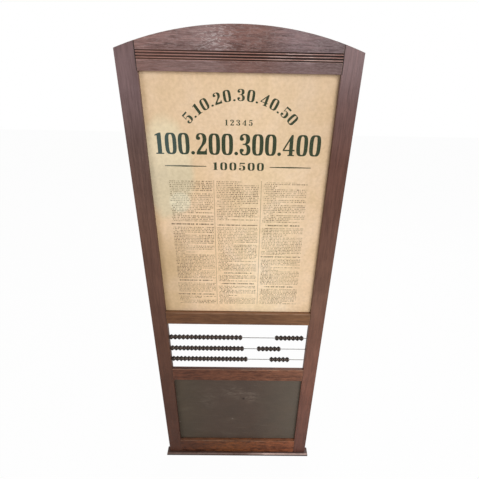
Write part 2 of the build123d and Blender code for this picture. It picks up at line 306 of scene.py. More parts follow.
bpy.ops.mesh.primitive_plane_add(size=floor_size, location=(0, 0, board_foot - floor_gap))
floor = bpy.context.object
floor.name = "studio_floor"
floor_finish, tree, shader = start_material("studio_floor")
floor_tint = ramp(
    tree, noise(tree, object_place(tree), 3.0), [(0.3, paint(214, 213, 211)), (0.7, paint(222, 221, 219))]
)
feed(tree, shader.inputs["Base Color"], floor_tint)
shader.inputs["Roughness"].default_value = 0.9
shader.inputs["Specular IOR Level"].default_value = 0.1
white_light = add_node(tree, "Emission", {"Color": (1, 1, 1, 1), "Strength": 1.0}).outputs[0]
camera_ray = add_node(tree, "LightPath").outputs["Is Camera Ray"]
seen_share = maths(tree, "MULTIPLY", camera_ray, 1 - shadow_share)
floor_mix = add_node(tree, "MixShader", {0: seen_share, 1: shader.outputs[0], 2: white_light})
tree.links.new(floor_mix.outputs[0], tree.nodes["Material Output"].inputs["Surface"])
floor.data.materials.append(floor_finish)
print("floor", floor_size, "m")

world = bpy.data.worlds.new("studio_sky")
bpy.context.scene.world = world
world.use_nodes = True
tree = world.node_tree
seen = add_node(tree, "LightPath").outputs["Is Camera Ray"]
sky = tree.nodes["Background"]
sky.inputs["Color"].default_value = (1, 1, 1, 1)
feed(tree, sky.inputs["Strength"], rescale(tree, seen, 0.0, 1.0, sky_strength, 1.0))


# %% [markdown]
# ### Lamps
#
# One large lamp high on the right gives the wood its sheen near the crest, and a weaker one on the left
# opens the shadows. A third stands behind the board, so that its back can be seen too. Large square
# lamps are used because small ones would draw hard edges on the waxed wood.

# %% Lamps
def add_softbox(name, place, target, size, power, colour):
    """A square area lamp aimed at a point."""
    bpy.ops.object.light_add(type="AREA", location=place)
    lamp = bpy.context.object
    lamp.name = name
    lamp.rotation_euler = (Vector(target) - Vector(place)).to_track_quat("-Z", "Y").to_euler()
    lamp.data.size = size
    lamp.data.energy = power
    lamp.data.color = colour
    print(name, power, "W")


board_middle = (0, 0, height(850))
add_softbox("key_softbox", (1.3, -2.3, height(2500)), (0, 0, height(1000)), 1.5, 62.0, (0.96, 0.98, 1.0))
add_softbox("fill_softbox", (-2.2, -1.8, height(1300)), board_middle, 1.4, 18.0, (1.0, 0.96, 0.92))
add_softbox("back_softbox", (0.6, 2.4, height(2300)), board_middle, 1.5, 45.0, (1.0, 1.0, 1.0))


# %% [markdown]
# ## Stained oak
#
# The frame is oak, stained a dark red-brown and waxed. Its colour along each piece is partly its own
# tone and partly painted sheen, a dull purple-grey high up where reflected light would lie. Oak's
# look has four layers: wide soft bands of tone, streaks a few millimetres across, open pores like short
# pencil strokes, and pale ray flecks where a board is sawn on the quarter. Each layer is noise that is
# squeezed across the grain and stretched along it. A photograph of wood would be quicker, but it'd
# repeat on every piece. Here each piece gets its own shift, so no two boards match, and rails and stiles
# differ only in which way the grain runs.

# %% Places on the frame
sight_half = 249.0
front_face = -20.0


def rail_span(name):
    """A rail's lowest and highest place, in millimetres above the board's foot."""
    low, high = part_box(name)
    return (low.z - board_foot) / mm, (high.z - board_foot) / mm


def read_place(tree):
    """Where a point is, in millimetres with z above the foot, and which way its surface faces."""
    place = add_node(tree, "SeparateXYZ", {0: object_place(tree)}).outputs
    facing = add_node(tree, "SeparateXYZ", {0: add_node(tree, "NewGeometry").outputs["Normal"]}).outputs
    return SimpleNamespace(
        x=maths(tree, "DIVIDE", place["X"], mm),
        y=maths(tree, "DIVIDE", place["Y"], mm),
        z=maths(tree, "DIVIDE", maths(tree, "SUBTRACT", place["Z"], board_foot), mm),
        from_front=rescale(tree, facing["Y"], -0.80, -0.97),
        from_above=rescale(tree, facing["Z"], 0.80, 0.98),
    )


rails = ("crest_rail", "upper_mid_rail", "lower_mid_rail", "bottom_rail")
upper_top, lower_top, bottom_top = (rail_span(rail)[1] for rail in rails[1:])
sheet_top = rail_span("crest_rail")[0]
reed_edges = (sheet_top + 25.0, sheet_top + 46.5)
print("rail tops", round(upper_top, 1), round(lower_top, 1), round(bottom_top, 1))


# %% [markdown]
# ### The grain
#
# A board's colour changes along its length, partly its own tone and partly painted sheen, so it
# comes from a ramp first. Noise on squeezed coordinates then gives the bands and the streaks, which
# multiply that colour, and the hairs, of which only the peaks are kept, as pores. How strong all of this
# is, and how far the grain is drawn out, is written in each piece's finish.

# %% The grain
pore_colour = paint(36, 22, 17)
common_streaks = 230.0


def along_grain(tree, finish, shift, stretch):
    """The piece's coordinates, with those along its grain shortened to a share."""
    axis = finish["grain"][0]
    return object_place(tree, shift, tuple(stretch if letter == axis else 1.0 for letter in "xyz"))


def grained_wood(tree, finish, shift, here):
    """A board's colour with painted sheen, its grain, and the streaks and pores that its surface follows.
    """
    across, low, high = finish["across"]
    # The ramp's colours are the board's tone with painted sheen in them.
    stops = [((place - low) / (high - low), paint(*colour)) for place, colour in finish["tones_and_sheen"]]
    colour = ramp(tree, share_between(tree, getattr(here, across), low, high), stops)

    contrast, stretch = finish["contrast"], finish["grain"][1]
    grain = along_grain(tree, finish, shift, stretch)
    bands = noise(tree, grain, 24.0, 4.0, 0.6, 0.2)
    streaks = noise(tree, grain, finish.get("streaks", common_streaks), 4.0, 0.65, 0.2)
    tone = maths(tree, "MULTIPLY", bands, 0.35)
    tone = maths(tree, "ADD", tone, maths(tree, "MULTIPLY", streaks, 0.65))
    dark = (1 - 0.40 * contrast, 1 - 0.46 * contrast, 1 - 0.48 * contrast, 1)
    light = (1 + 0.36 * contrast, 1 + 0.32 * contrast, 1 + 0.28 * contrast, 1)
    tone = ramp(tree, tone, [(0.40, dark), (0.5, (1, 1, 1, 1)), (0.60, light)])
    colour = tinted(tree, colour, tone)

    blotches = noise(tree, object_place(tree, shift), 9.0, 4.0, 0.6)
    blotch_tone = ramp(tree, blotches, [(0.35, (0.88, 0.85, 0.84, 1)), (0.65, (1.10, 1.10, 1.10, 1))])
    colour = tinted(tree, colour, blotch_tone)
    hairs = noise(tree, along_grain(tree, finish, shift, stretch * 0.6), 620.0, 2.0, 0.6)
    pores = rescale(tree, hairs, 0.56, 0.66)
    colour = blend(tree, maths(tree, "MULTIPLY", pores, 0.55 * contrast), colour, pore_colour)
    return colour, streaks, pores


# %% [markdown]
# ### The crest's flecks and reeds
#
# Ray flecks are short and pale, and here they're thickest left of the crest's middle, where they also
# stand for a painted highlight. The three reeds under them are real shape in the solid, so they get
# only a painted highlight on their backs and painted shade in their grooves. A stronger lamp could
# light them so too, but it would bleach the rest of the crest.

# %% The crest's flecks and reeds
fleck_and_highlight_colour = paint(172, 158, 155)
lower_band_colour = paint(104, 76, 68)
painted_reed_highlight = paint(166, 118, 101)
painted_reed_glint = paint(206, 180, 172)
painted_groove_shade = paint(30, 10, 5)


def add_flecks(tree, finish, shift, here, colour):
    """Ray flecks over the crest, with a patch of painted highlight, and the plain band under the reeds.
    """
    flecks = noise(tree, along_grain(tree, finish, shift, 0.30), 420.0, 3.0, 0.7, 0.3)
    # The patch is a painted highlight, where the pale flecks are thickest.
    fleck_highlight_patch = maths(tree, "ADD", nearness(tree, -60, front_face, 1622, 64), 0.30)
    fleck_and_highlight = product(tree, rescale(tree, flecks, 0.49, 0.62), fleck_highlight_patch, finish["flecks"])
    colour = blend(tree, fleck_and_highlight, colour, fleck_and_highlight_colour)
    under_reeds = rescale(tree, here.z, reed_edges[0], reed_edges[0] - 5.0, 0.0, 0.35)
    return blend(tree, under_reeds, colour, lower_band_colour)


def add_reed_light_and_shade(tree, here, streaks, colour):
    """Painted highlights on the reeds' backs and painted shade in their grooves, both stronger to the
    right.
    """
    in_reeds = between(tree, here.z, *reed_edges)
    # Painted highlight on the reeds' backs, with a brighter painted glint to the right.
    colour = blend(tree, product(tree, in_reeds, here.from_front, 0.6), colour, painted_reed_highlight)
    lit_reeds = product(tree, in_reeds, here.from_front, nearness(tree, 150, front_face, 1584, 130))
    lit_reeds = product(tree, lit_reeds, rescale(tree, streaks, 0.40, 0.60, 0.1, 0.8))
    colour = blend(tree, lit_reeds, colour, painted_reed_glint)
    # Painted shade in the grooves between the reeds.
    groove_shade = product(tree, in_reeds, rescale(tree, here.y, -19.8, -19.1))
    groove_shade = product(tree, groove_shade, maths(tree, "LESS_THAN", here.y, -16.0))
    groove_shade_strength = rescale(tree, here.x, -250.0, 60.0, 0.74, 0.98)
    return blend(tree, product(tree, groove_shade, groove_shade_strength), colour, painted_groove_shade)


# %% [markdown]
# ### Dirt and joints
#
# Corners and crevices are darkened with painted shade and dust, and some ledges with painted shade
# and the dirt that wax holds there; others get painted light instead. A joint between a rail and a stile
# is a hairline that the solids don't show, because they meet without a gap, so it's drawn as a dark line
# wherever a rail's height and the sight edge cross. It fades towards the foot, as the real ones do.

# %% Painted shade, dirt and joints
corner_shade_reach = 4 * mm
ledge_dirt_and_shade_colour = paint(26, 16, 12)
joint_colour = paint(26, 17, 14)
lit_ledge_colour = paint(150, 112, 86)


def add_shade_and_dirt(tree, finish, here, colour):
    """Painted shade and dust in corners, dirt and painted shade on some ledges, painted light on others,
    and dark joints where rails meet a stile.
    """
    # Painted shade darkens corners and crevices, together with dust.
    shade = rescale(tree, corner_shade(tree, corner_shade_reach), 0.25, 0.85, 0.45, 1.0)
    colour = tinted(tree, colour, grey_of(tree, shade))
    # Upward ledges darkened: dirt with painted shade.
    if "ledge" in finish:
        ledge_front, ledge_dirt_and_shade = finish["ledge"]
        inset = rescale(tree, here.y, ledge_front, ledge_front + 0.5)
        colour = blend(tree, product(tree, here.from_above, inset, ledge_dirt_and_shade), colour, ledge_dirt_and_shade_colour)
    # Upward ledges near their front edge are lightened with painted light from above.
    if "ledge_light" in finish:
        ledge_light_from, ledge_light_amount = finish["ledge_light"]
        ledge_light_part = rescale(tree, here.y, ledge_light_from, ledge_light_from - 3.0)
        lit_ledge = product(tree, here.from_above, ledge_light_part, ledge_light_amount)
        colour = blend(tree, lit_ledge, colour, lit_ledge_colour)
    if finish.get("jointed"):
        side = maths(tree, "ABSOLUTE", here.x)
        seam = between(tree, side, sight_half - 1.0, sight_half + 2.0)
        in_rail = either(tree, [between(tree, here.z, *rail_span(rail)) for rail in rails])
        seam = product(tree, seam, in_rail, rescale(tree, here.z, 400.0, 1500.0, 0.42, 0.92))
        colour = blend(tree, seam, colour, joint_colour)
    return colour


# %% [markdown]
# ### Wear, painted highlights and painted shade
#
# Arrises are rubbed pale in places and carry painted highlights, most of all the top one of each
# rail, where hands reach in and the light from the right falls. The base plate's round edge is the
# smoothest wood on the board, and a painted highlight lies on it where the light from the right would
# catch it; the front below it gets painted shade. A glossier wax alone would catch the light all
# along, so the pale band is drawn in.

# %% Wear, painted highlights and painted shade
arris_radius = 1.4 * mm
rubbed_and_lit_colour = paint(160, 122, 98)
handled_and_lit_colour = paint(182, 146, 120)
painted_highlight_colour = paint(226, 196, 184)
painted_underside_shade = paint(44, 30, 25)


def add_wear(tree, finish, shift, here, colour):
    """Arrises and rail tops rubbed pale and given painted highlights, and the base plate's painted
    highlight and painted shade.
    """
    patches = noise(tree, object_place(tree, shift), 24.0, 3.0)
    # Arrises lightened: rubbed wear with a painted highlight.
    rubbed_and_lit = rescale(tree, patches, 0.40, 0.62, 0.10, 0.75)
    colour = blend(tree, product(tree, arris_mask(tree, arris_radius), rubbed_and_lit), colour, rubbed_and_lit_colour)
    # Rail tops lightened, more to the right: handling wear with a painted highlight.
    if "worn_lit_top" in finish:
        top = finish["worn_lit_top"]
        handled_and_lit = product(tree, rescale(tree, here.z, top - 5.5, top - 1.5), here.from_front)
        handled_and_lit = product(tree, handled_and_lit, rescale(tree, patches, 0.36, 0.58, 0.15, 0.5))
        handled_and_lit = product(tree, handled_and_lit, rescale(tree, here.x, -260.0, 200.0, 0.55, 1.0))
        colour = blend(tree, handled_and_lit, colour, handled_and_lit_colour)
    if "polish_and_highlight" in finish:
        # Painted highlight on the round edge, strongest right of the middle.
        round_edge = rescale(tree, here.y, -25.0, -28.0)
        lit_part = rescale(tree, here.x, 20.0, 120.0, 0.14, 0.90)
        lit_part = product(tree, lit_part, rescale(tree, here.x, 150.0, 240.0, 1.0, 0.60))
        painted_highlight = product(tree, round_edge, lit_part, rescale(tree, patches, 0.35, 0.6, 0.6, 1.0))
        painted_highlight = product(tree, painted_highlight, rescale(tree, here.z, 8.5, 10.5))
        colour = blend(tree, painted_highlight, colour, painted_highlight_colour)
        # Painted shade on the lower part of the plate's front.
        colour = blend(tree, rescale(tree, here.z, 8.5, 5.0, 0.0, 0.78), colour, painted_underside_shade)
    return colour


# %% [markdown]
# ### One finish from all the layers
#
# The layers go on in this order: wood with its painted sheen, then dirt, painted shade and painted
# light on ledges, then wear with painted highlights. The same streaks that colour the wood also change
# how rough it is, and the pores are pressed in a little, so that light breaks up along the grain too.

# %% One finish from all the layers
pore_depth = 0.2 * mm
dull_wax = (0.44, 0.60)


def stained_oak(name, finish, shift):
    """A waxed oak, its grain and its change of colour each along an axis of the board."""
    material, tree, shader = start_material(name)
    here = read_place(tree)
    colour, streaks, pores = grained_wood(tree, finish, shift, here)
    if "flecks" in finish:
        colour = add_flecks(tree, finish, shift, here, colour)
    colour = add_shade_and_dirt(tree, finish, here, colour)
    colour = add_wear(tree, finish, shift, here, colour)
    if "flecks" in finish:
        colour = add_reed_light_and_shade(tree, here, streaks, colour)

    feed(tree, shader.inputs["Base Color"], colour)
    wax = rescale(tree, streaks, 0.3, 0.7, *finish.get("polish_and_highlight", dull_wax))
    feed(tree, shader.inputs["Roughness"], wax)
    shader.inputs["Specular IOR Level"].default_value = 0.22
    shader.inputs["Coat Weight"].default_value = 0.04
    shader.inputs["Coat Roughness"].default_value = 0.30
    relief = maths(tree, "SUBTRACT", maths(tree, "MULTIPLY", streaks, 0.5), pores)
    feed(tree, shader.inputs["Normal"], bump(tree, relief, pore_depth, 0.6))
    return material


# %% [markdown]
# ### Dress the frame
#
# No two pieces of the frame have the same colour: the crest is grey-purple and the stiles plum at the
# top, both with painted sheen, the stiles are brown at the foot, and the lowest rail is the reddest.
# The rails' lighter right-hand ends are painted sheen too. So each piece has a line or two of its own:
# which way its grain runs and how far it's drawn out, how strong it is, and its colour with painted
# sheen at measured places. Lists of numbers read better than a material tuned by hand for each piece.

# %% Dress the frame
up_board = ("z", 0.0, 1650.0)
over_board = ("x", -310.0, 310.0)
# Each piece's colour list holds its tone with painted sheen: greyer and purpler high on the board, and
# lighter towards the right on the rails and the base plate.
oak_finishes = {
    "left_stile": {
        "grain": ("z", 0.05),
        "contrast": 0.42,
        "jointed": True,
        "across": up_board,
        "tones_and_sheen": [
            (100, (79, 48, 36)),
            (640, (93, 61, 47)),
            (1130, (103, 74, 62)),
            (1360, (93, 70, 64)),
            (1500, (109, 87, 87)),
        ],
    },
    "right_stile": {
        "grain": ("z", 0.05),
        "contrast": 0.48,
        "jointed": True,
        "across": up_board,
        "tones_and_sheen": [
            (130, (102, 66, 56)),
            (420, (121, 80, 66)),
            (900, (108, 77, 63)),
            (1320, (94, 62, 52)),
            (1470, (98, 72, 68)),
            (1560, (118, 96, 96)),
        ],
    },
    "crest_rail": {
        "grain": ("x", 0.09),
        "streaks": 270.0,
        "contrast": 0.80,
        "flecks": 0.66,
        "across": over_board,
        "tones_and_sheen": [
            (-250, (129, 99, 94)),
            (-70, (130, 107, 105)),
            (-5, (114, 83, 77)),
            (60, (112, 83, 77)),
            (125, (119, 98, 99)),
            (249, (103, 86, 87)),
        ],
    },
    "upper_mid_rail": {
        "grain": ("x", 0.10),
        "contrast": 0.60,
        "ledge_light": (-11.0, 0.55),
        "worn_lit_top": upper_top,
        "across": over_board,
        "tones_and_sheen": [(-230, (101, 67, 43)), (40, (108, 75, 50)), (235, (124, 88, 60))],
    },
    "lower_mid_rail": {
        "grain": ("x", 0.18),
        "streaks": 160.0,
        "contrast": 1.0,
        "ledge": (-19.3, 0.36),
        "worn_lit_top": lower_top,
        "across": over_board,
        "tones_and_sheen": [(-230, (96, 58, 42)), (20, (108, 67, 48)), (235, (118, 77, 58))],
    },
    "bottom_rail": {
        "grain": ("x", 0.30),
        "streaks": 110.0,
        "contrast": 1.30,
        "ledge_light": (-9.5, 0.30),
        "worn_lit_top": bottom_top,
        "across": over_board,
        "tones_and_sheen": [(-230, (82, 48, 33)), (-20, (112, 66, 36)), (235, (129, 76, 50))],
    },
    "base_plate": {
        "grain": ("x", 0.08),
        "contrast": 0.7,
        "ledge": (-27.5, 0.35),
        "polish_and_highlight": (0.20, 0.34),
        "across": over_board,
        "tones_and_sheen": [(-300, (88, 68, 60)), (0, (90, 66, 58)), (290, (112, 88, 82))],
    },
}

# Each piece is cut from another place in the tree, so none repeats its neighbour's grain
for number, (node_name, finish) in enumerate(oak_finishes.items()):
    shift = (number * 3.7, number * 1.9, number * 5.3)
    dress(stained_oak("oak_" + node_name, finish, shift), node_name)
print("oak pieces", len(oak_finishes))


# %% [markdown]
# ## Turned beads
#
# Each bead is a little double cone with a rim round its waist, turned from hardwood, dyed nearly
# black and strung on a wire. A spin of a drawn profile would make it, but a lathe hand thinks the
# other way round: start from a round blank, mark the rim with two cuts, draw the ends in, drill it,
# and ease the edges. The same steps work on a cylinder in edit mode. One bead is made so, and copied
# to each place where the frame has one. Clicking isn't possible in a script, so two helpers select
# objects by name, and parts of a mesh by where they are.

# %% Select by place
def select_only(*chosen):
    """Leaves only these objects selected, the first of them active."""
    bpy.ops.object.select_all(action="DESELECT")
    for item in chosen:
        item.select_set(True)
    bpy.context.view_layer.objects.active = chosen[0]


def select_parts(kind, wanted):
    """In edit mode, selects only the verts, edges or faces for which wanted(part) is true."""
    mesh = bmesh.from_edit_mesh(bpy.context.object.data)
    bpy.ops.mesh.select_all(action="DESELECT")
    for part in getattr(mesh, kind):
        if wanted(part):
            part.select_set(True)
    mesh.select_flush_mode()
    bmesh.update_edit_mesh(bpy.context.object.data)


# %% [markdown]
# ### The blank, cut and drawn in
#
# A cylinder as wide as the bead lies along the wire. Two bisects mark the rim. Then the vertices of the
# two ends are drawn in towards the axis, which makes both cones in one step, because the cuts hold the
# rim where it is.

# %% The blank, cut and drawn in
bead_radius = 9.5 * mm
bead_length = 14.15 * mm
bead_end_radius = 5.2 * mm
rim_half_width = 0.6 * mm
bead_sides = 32
nearly = 0.01 * mm

bpy.ops.object.select_all(action="DESELECT")
bpy.ops.mesh.primitive_cylinder_add(
    vertices=bead_sides, radius=bead_radius, depth=bead_length, rotation=(0, pi / 2, 0)
)
blank = bpy.context.object
bpy.ops.object.transform_apply(location=False, rotation=True, scale=False)
bpy.ops.object.mode_set(mode="EDIT")
bpy.ops.mesh.select_mode(type="VERT")
for side in (-1, 1):
    bpy.ops.mesh.select_all(action="SELECT")
    bpy.ops.mesh.bisect(plane_co=(side * rim_half_width, 0, 0), plane_no=(1, 0, 0))
select_parts("verts", lambda vert: abs(vert.co.x) > bead_length / 2 - nearly)
draw_in = bead_end_radius / bead_radius
bpy.ops.transform.resize(value=(1, draw_in, draw_in))
print("bead", round(bead_length / mm, 2), "by", round(2 * bead_radius / mm, 2), "mm")


# %% [markdown]
# ### Drilled and eased
#
# A face inset on both ends and a bridge between the two new faces drill the bead in two operators, and
# leave no loose walls as a boolean can. The bevels are small, but without them the rim and the ends
# would be knife edges that catch no light.

# %% Drilled and eased
bead_bore_radius = 1.32 * mm
rim_ease = 0.3 * mm
end_ease = 0.5 * mm
smooth_under = radians(28)

bpy.ops.mesh.select_mode(type="FACE")
select_parts("faces", lambda face: abs(face.normal.x) > 0.99)
bpy.ops.mesh.inset(thickness=bead_end_radius - bead_bore_radius, use_individual=True)
bpy.ops.mesh.bridge_edge_loops()
bpy.ops.mesh.select_mode(type="EDGE")


def on_ring(edge, across, radius):
    """True for an edge that runs round the bead at this distance from its middle and its axis."""
    return all(
        abs(abs(vert.co.x) - across) < nearly and abs(vert.co.yz.length - radius) < nearly
        for vert in edge.verts
    ) and abs(edge.verts[0].co.x - edge.verts[1].co.x) < nearly


select_parts("edges", lambda edge: on_ring(edge, rim_half_width, bead_radius))
bpy.ops.mesh.bevel(offset=rim_ease, segments=2)
select_parts("edges", lambda edge: on_ring(edge, bead_length / 2, bead_end_radius))
bpy.ops.mesh.bevel(offset=end_ease, segments=2)
bpy.ops.mesh.select_all(action="SELECT")
bpy.ops.mesh.normals_make_consistent(inside=False)
bpy.ops.object.mode_set(mode="OBJECT")
bpy.ops.object.shade_smooth_by_angle(angle=smooth_under)
print("bead faces", len(blank.data.polygons))


# %% [markdown]
# ## Dyed hardwood
#
# The beads' dye is nearly black, and a fine streak of brown wood shows through it. A slower noise makes
# one bead a little browner than the next. A random tone for each object would do the same in a render,
# but each row's parked beads are one mesh.

# %% Dyed hardwood
dyed_wood, tree, shader = start_material("dyed_hardwood")
bead_streaks = noise(tree, object_place(tree, stretch=(0.25, 1, 1)), 700.0, 3.0, 0.6)
bead_to_bead = noise(tree, object_place(tree), 60.0, 1.0)
bead_tone = maths(tree, "MULTIPLY", bead_streaks, 0.6)
bead_tone = maths(tree, "ADD", bead_tone, maths(tree, "MULTIPLY", bead_to_bead, 0.4))
bead_colour = ramp(
    tree, bead_tone, [(0.38, paint(24, 18, 16)), (0.5, paint(36, 28, 24)), (0.64, paint(58, 44, 36))]
)


# %% [markdown]
# ### Painted highlights on the beads' rims
#
# Each rim's upper front gets a painted highlight, paler than the dye. A place on the bead is wanted,
# but the beads of a row share one mesh. The rows are evenly spaced, so the distance to the nearest
# wire, taken row by row, says how far out a point is, and its normal says which way it faces.

# %% Painted highlights on the beads' rims
bead_highlight_colour = paint(142, 124, 112)
bead_highlight_from, bead_highlight_within = 8.8 * mm, 7.4 * mm

apart = add_node(tree, "SeparateXYZ", {0: object_place(tree)})
wire_low, wire_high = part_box("bottom_row_wire")
wire_y, wire_z = (wire_low.y + wire_high.y) / 2, (wire_low.z + wire_high.z) / 2
row_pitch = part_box("middle_row_wire")[0].z - wire_low.z
rows_up = maths(tree, "DIVIDE", maths(tree, "SUBTRACT", apart.outputs["Z"], wire_z), row_pitch)
part_of_row = maths(tree, "SUBTRACT", rows_up, maths(tree, "ROUND", rows_up))
from_wire = maths(tree, "MULTIPLY", part_of_row, row_pitch)
before_wire = maths(tree, "SUBTRACT", apart.outputs["Y"], wire_y)
squares = [maths(tree, "MULTIPLY", part, part) for part in (from_wire, before_wire)]
axis_distance = maths(tree, "SQRT", maths(tree, "ADD", *squares))
bead_facing = add_node(tree, "NewGeometry").outputs["Normal"]
upper_front = add_node(tree, "VectorMath", {0: bead_facing, 1: (0, -0.71, 0.71)}, operation="DOT_PRODUCT")
# A painted highlight on each rim's upper front.
bead_highlight = rescale(tree, axis_distance, bead_highlight_from, bead_highlight_within)
bead_highlight = product(tree, bead_highlight, rescale(tree, upper_front.outputs["Value"], 0.68, 0.82))
bead_highlight = product(tree, bead_highlight, rescale(tree, bead_streaks, 0.38, 0.60, 0.15, 0.9))
feed(tree, shader.inputs["Base Color"], blend(tree, bead_highlight, bead_colour, bead_highlight_colour))
feed(tree, shader.inputs["Roughness"], rescale(tree, bead_streaks, 0.3, 0.7, 0.36, 0.50))
shader.inputs["Specular IOR Level"].default_value = 0.2
shader.inputs["Coat Weight"].default_value = 0.05
shader.inputs["Coat Roughness"].default_value = 0.2
feed(tree, shader.inputs["Normal"], bump(tree, bead_streaks, 0.08 * mm, 0.5))
print("rows", round(row_pitch / mm, 1), "mm apart")


# %% [markdown]
# ## Beads on their wires
#
# The beads that are being counted are a node each, and the rest of a row, pushed to the left, is one
# node. The boxes of the nodes say where beads go, and a node's width over its number of beads gives
# their spacing, so that some rows are loose and some are tight, as the frame has them. Each copy is
# turned about its wire at random, since real beads don't line up their grain.

# %% Beads on their wires
beads_on_a_wire = 25
bead_turns = random.Random(25)
bodies = frame["record"]["behaviour"]["bodies"]
body_of_node = {name: body for body, names in bodies.items() for name in names}
bead_nodes = sorted(name for name in nodes if "_bead" in name)
for node_name in bead_nodes:
    low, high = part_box(node_name)
    row_name = node_name.split("_row_")[0]
    single_beads = sum(name.startswith(row_name + "_row_bead_") for name in bead_nodes)
    count = beads_on_a_wire - single_beads if "parked" in node_name else 1
    spacing = (high.x - low.x - bead_length) / max(count - 1, 1)
    first = Vector((low.x + bead_length / 2, (low.y + high.y) / 2, (low.z + high.z) / 2))
    strung = []
    for place in range(count):
        select_only(blank)
        bpy.ops.object.duplicate(linked=False)
        bead = bpy.context.object
        bead.location = first + Vector((place * spacing, 0, 0))
        bead.rotation_euler = (bead_turns.uniform(0, 2 * pi), 0, 0)
        bpy.ops.object.transform_apply(location=True, rotation=True, scale=True)
        strung.append(bead)
    select_only(*strung)
    if count > 1:
        bpy.ops.object.join()
    beads = bpy.context.object
    beads.name = "turned_" + node_name
    beads.data.materials.append(dyed_wood)
    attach(beads, body_of_node[node_name])
    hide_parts(node_name)
bpy.data.objects.remove(blank)
print("bead pieces", len(bead_nodes))


# %% [markdown]
# ## Old steel
#
# The wires, the hanging plates, the screws and the sprigs are plain steel. Steel that has hung in a
# room for a century is grey rather than bright, with freckles of rust. The freckles are noise cut off
# high, so that only its peaks show, and they're rougher than the metal and not metallic at all.

# %% Old steel
def old_steel(name, bright, rust_amount, roughness=0.34):
    """A grey metal with freckles of rust."""
    material, tree, shader = start_material(name)
    place = object_place(tree)
    grey = noise(tree, object_place(tree, stretch=(0.2, 1, 1)), 900.0, 2.0)
    dull_grey = tuple(channel * 0.55 for channel in bright[:3]) + (1,)
    metal = ramp(tree, grey, [(0.3, dull_grey), (0.7, bright)])
    rust = rescale(tree, noise(tree, place, 260.0, 5.0, 0.7), 0.68 - rust_amount, 0.76 - rust_amount)
    feed(tree, shader.inputs["Base Color"], blend(tree, rust, metal, paint(96, 60, 40)))
    feed(tree, shader.inputs["Metallic"], rescale(tree, rust, 0.0, 1.0, 1.0, 0.0))
    feed(tree, shader.inputs["Roughness"], rescale(tree, rust, 0.0, 1.0, roughness, 0.8))
    feed(tree, shader.inputs["Normal"], bump(tree, rust, 0.05 * mm, 0.6))
    return material


wire_steel = old_steel("wire_steel", paint(128, 124, 118), 0.02)
dress(wire_steel, "top_row_wire", "middle_row_wire", "bottom_row_wire")
plate_steel = old_steel("plate_steel", paint(128, 122, 114), 0.14, 0.58)
dress(plate_steel, "hanger_plate_left", "hanger_plate_right")
fastener_steel = old_steel("fastener_steel", paint(138, 130, 122), 0.13)
dress(fastener_steel, "hanger_screws", "base_screws", "panel_sprigs")
print("steel finishes", wire_steel.name, plate_steel.name, fastener_steel.name)


# %% [markdown]
# ## The printed sheet
#
# A bill of rules has two kinds of print. The large lines are shapes that the eye can follow, so they
# become real geometry further on. The small print is different: at reading distance it's three grey
# columns, and nothing in it needs to be read. It belongs in the paper's material, where it costs no
# faces. Height above the foot says which line a point is on, noise along the line makes letters and
# breaks them into words, and a few compared ranges say where the columns and headings are.

# %% Layout of the small print, in millimetres across and above the foot
line_pitch = 5.4
columns = {
    (-199, -76): [(1139, 1269), (935, 1124), (879, 918), (830, 863)],
    (-65, 57): [(1146, 1268), (964, 1122), (922, 948), (830, 907)],
    (71, 196): [(1138, 1266), (1028, 1122), (912, 1012), (830, 896)],
}
headings = [
    (-203, -77, 1131.3),
    (-195, -86, 926.8),
    (-201, -78, 870.8),
    (-64, 56, 1129.6),
    (-51, 42, 956.8),
    (-61, 51, 914.9),
    (81, 185, 1130.1),
    (70, 195, 1019.8),
    (83, 180, 904.2),
]
gutters = (-72.0, 63.8)
gutter_span = (830, 1270)
print("headings", len(headings))


# %% [markdown]
# ### Yellowed paper
#
# The paper is clouds of yellow first. Its left and right edges are browner, where the frame's acid got
# at it. A plain gradient would give straight brown bands, so a second noise is added to the distance
# from the edge before the gradient reads it, and the bands come out ragged.

# %% Yellowed paper
aged_paper, tree, shader = start_material("aged_paper")
place = object_place(tree)
apart = add_node(tree, "SeparateXYZ", {0: place})
across = maths(tree, "DIVIDE", apart.outputs["X"], mm)
above = maths(tree, "DIVIDE", maths(tree, "SUBTRACT", apart.outputs["Z"], board_foot), mm)

clouds = noise(tree, place, 9.0, 4.0, 0.6, 0.4)
yellows = [(0.3, paint(212, 183, 146)), (0.5, paint(218, 189, 155)), (0.7, paint(221, 194, 164))]
paper_colour = ramp(tree, clouds, yellows)
ragged = maths(tree, "MULTIPLY", noise(tree, place, 22.0, 3.0), 26.0)
left_toning = rescale(tree, maths(tree, "ADD", across, ragged), -214.0, -238.0)
right_toning = rescale(tree, maths(tree, "SUBTRACT", across, ragged), 213.0, 238.0)
for toning, amount, brown in (
    (left_toning, 0.45, paint(196, 164, 122)),
    (right_toning, 0.30, paint(204, 174, 138)),
):
    paper_colour = blend(tree, maths(tree, "MULTIPLY", toning, amount), paper_colour, brown)
print("paper yellows", len(yellows))


# %% [markdown]
# ### Damp and bleaching
#
# Damp has left a pale greenish patch at the left, with a smaller lobe below it. The patch is an ellipse
# whose edge is broken up by the clouds' own noise, because a clean edge would look printed. The sheet
# is browner at its lower left and paler right of its middle, and these are wide soft products of one
# gradient across and one upwards.

# %% Damp and bleaching
sheet_face = -7.5
damp_middle = (-200.0, 1290.0)
damp_reach = (70.0, 150.0)
high_damp_colour = paint(222, 208, 176)
low_damp_colour = paint(199, 189, 160)
lobe_colour = paint(219, 209, 182)

